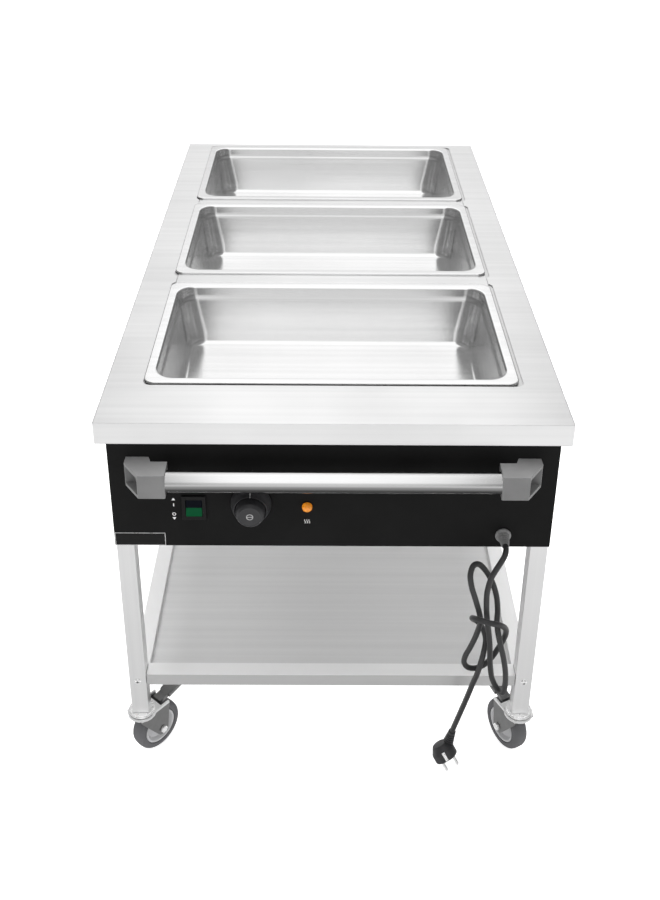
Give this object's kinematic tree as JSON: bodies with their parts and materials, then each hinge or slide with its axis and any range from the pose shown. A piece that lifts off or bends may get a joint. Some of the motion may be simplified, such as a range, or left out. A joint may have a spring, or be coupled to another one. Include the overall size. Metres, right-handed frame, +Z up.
{
  "type": "steam table unit",
  "caption": "Wheeled electric steam table: a water bath under three full-size lift-out food pans, controls on a black front panel, a push handle, a lower shelf and swivel casters.",
  "frame": {"origin": "on the floor, under the centre of the unit's outline without its mains lead", "axes": "+X to the right as the operator at the handle sees it, +Y to the back, +Z up"},
  "size_m": [0.64, 1.2538, 0.6206],
  "materials": {
    "worktop_steel": "satin brushed stainless",
    "pan_steel": "bright drawn stainless",
    "body_steel": "fine brushed stainless",
    "bar_steel": "bright drawn tube",
    "element_steel": "dull, heat stained",
    "black_panel": "satin black powder coat",
    "fork_steel": "dark grey coated pressed steel",
    "lever_red": "red dipped",
    "zinc": "bright zinc plate",
    "brass": "plain turned",
    "bracket_plastic": "fine moulded texture",
    "black_plastic": "satin moulded",
    "hub_grey": "light grey moulded",
    "white_plastic": "plain moulded",
    "rocker_green": "translucent green",
    "lamp_amber": "translucent amber",
    "cord_black": "satin sheath",
    "tyre_grey": "grey soft tread"
  },
  "bodies": {
    "stand": {"worktop": "worktop_steel", "well_tank": "body_steel", "divider_bar_front": "worktop_steel", "divider_bar_rear": "worktop_steel", "front_panel": "black_panel", "rear_panel": "body_steel", "side_panel_left": "body_steel", "side_panel_right": "body_steel", "bottom_cover": "body_steel", "leg_front_left": "body_steel", "leg_front_right": "body_steel", "leg_rear_left": "body_steel", "leg_rear_right": "body_steel", "lower_shelf": "body_steel", "handle_bar": "bar_steel", "handle_bracket_left": "bracket_plastic", "handle_bracket_right": "bracket_plastic", "switch_frame": "black_plastic", "thermostat_body": "zinc", "knob_bezel": "black_plastic", "pilot_lamp": "lamp_amber", "heating_element": "element_steel", "thermostat_bulb": "brass", "capillary_tube": "brass", "terminal_block": "white_plastic", "drain_pipe": "body_steel", "drain_valve": "brass", "cable_gland": "black_plastic", "cord_lead": "cord_black", "cord_hank": "cord_black", "cord_tail": "cord_black", "plug": "black_plastic", "caster_stem_front_left": "zinc", "caster_stem_front_right": "zinc", "caster_stem_rear_left": "zinc", "caster_stem_rear_right": "zinc"},
    "pan_front": {"gn_pan_front": "pan_steel"},
    "pan_middle": {"gn_pan_middle": "pan_steel"},
    "pan_rear": {"gn_pan_rear": "pan_steel"},
    "rocker": {"switch_rocker": "rocker_green"},
    "knob": {"thermostat_knob": "black_plastic"},
    "lever": {"drain_lever": "lever_red"},
    "swivel_front_left": {"caster_fork_front_left": "fork_steel", "caster_axle_front_left": "zinc"},
    "swivel_front_right": {"caster_fork_front_right": "fork_steel", "caster_axle_front_right": "zinc"},
    "swivel_rear_left": {"caster_fork_rear_left": "fork_steel", "caster_axle_rear_left": "zinc"},
    "swivel_rear_right": {"caster_fork_rear_right": "fork_steel", "caster_axle_rear_right": "zinc"},
    "wheel_front_left": {"caster_tyre_front_left": "tyre_grey", "caster_hub_front_left": "hub_grey"},
    "wheel_front_right": {"caster_tyre_front_right": "tyre_grey", "caster_hub_front_right": "hub_grey"},
    "wheel_rear_left": {"caster_tyre_rear_left": "tyre_grey", "caster_hub_rear_left": "hub_grey"},
    "wheel_rear_right": {"caster_tyre_rear_right": "tyre_grey", "caster_hub_rear_right": "hub_grey"},
    "pedal_front_left": {"brake_pedal_front_left": "fork_steel"},
    "pedal_front_right": {"brake_pedal_front_right": "fork_steel"}
  },
  "joints": [
    {"name": "pan_front_lift", "type": "slide", "parent": "stand", "child": "pan_front", "axis": [0, 0, 1], "range_m": [0, 0.12]},
    {"name": "pan_middle_lift", "type": "slide", "parent": "stand", "child": "pan_middle", "axis": [0, 0, 1], "range_m": [0, 0.12]},
    {"name": "pan_rear_lift", "type": "slide", "parent": "stand", "child": "pan_rear", "axis": [0, 0, 1], "range_m": [0, 0.12]},
    {"name": "switch_rocker_tip", "type": "hinge", "parent": "stand", "child": "rocker", "pos_m": [-0.1912, -0.5629, 0.481], "axis": [1, 0, 0], "range_deg": [0, 16]},
    {"name": "thermostat_knob_turn", "type": "hinge", "parent": "stand", "child": "knob", "pos_m": [-0.1125, -0.5779, 0.4895], "axis": [0, 1, 0], "range_deg": [0, 270]},
    {"name": "drain_lever_turn", "type": "hinge", "parent": "stand", "child": "lever", "pos_m": [0.15, 0.5315, 0.356], "axis": [0, 0, -1], "range_deg": [0, 90]},
    {"name": "swivel_front_left_turn", "type": "hinge", "parent": "stand", "child": "swivel_front_left", "pos_m": [-0.2905, -0.5489, 0.085], "axis": [0, 0, 1], "continuous": true},
    {"name": "swivel_front_right_turn", "type": "hinge", "parent": "stand", "child": "swivel_front_right", "pos_m": [0.2905, -0.5489, 0.085], "axis": [0, 0, 1], "continuous": true},
    {"name": "swivel_rear_left_turn", "type": "hinge", "parent": "stand", "child": "swivel_rear_left", "pos_m": [-0.2905, 0.5861, 0.085], "axis": [0, 0, 1], "continuous": true},
    {"name": "swivel_rear_right_turn", "type": "hinge", "parent": "stand", "child": "swivel_rear_right", "pos_m": [0.2905, 0.5861, 0.085], "axis": [0, 0, 1], "continuous": true},
    {"name": "wheel_front_left_spin", "type": "hinge", "parent": "swivel_front_left", "child": "wheel_front_left", "pos_m": [-0.27476, -0.53079, 0.03966], "axis": [0.7547, -0.6561, 0], "continuous": true},
    {"name": "wheel_front_right_spin", "type": "hinge", "parent": "swivel_front_right", "child": "wheel_front_right", "pos_m": [0.27923, -0.52771, 0.03966], "axis": [0.8829, 0.4695, 0], "continuous": true},
    {"name": "wheel_rear_left_spin", "type": "hinge", "parent": "swivel_rear_left", "child": "wheel_rear_left", "pos_m": [-0.27998, 0.56453, 0.03966], "axis": [-0.8988, -0.4384, 0], "continuous": true},
    {"name": "wheel_rear_right_spin", "type": "hinge", "parent": "swivel_rear_right", "child": "wheel_rear_right", "pos_m": [0.27998, 0.56453, 0.03966], "axis": [-0.8988, 0.4384, 0], "continuous": true},
    {"name": "brake_pedal_front_left_press", "type": "hinge", "parent": "swivel_front_left", "child": "pedal_front_left", "pos_m": [-0.26885, -0.52399, 0.083], "axis": [0.7547, -0.6561, 0], "range_deg": [-12, 0]},
    {"name": "brake_pedal_front_right_press", "type": "hinge", "parent": "swivel_front_right", "child": "pedal_front_right", "pos_m": [0.27501, -0.51976, 0.083], "axis": [0.8829, 0.4695, 0], "range_deg": [-12, 0]}
  ]
}
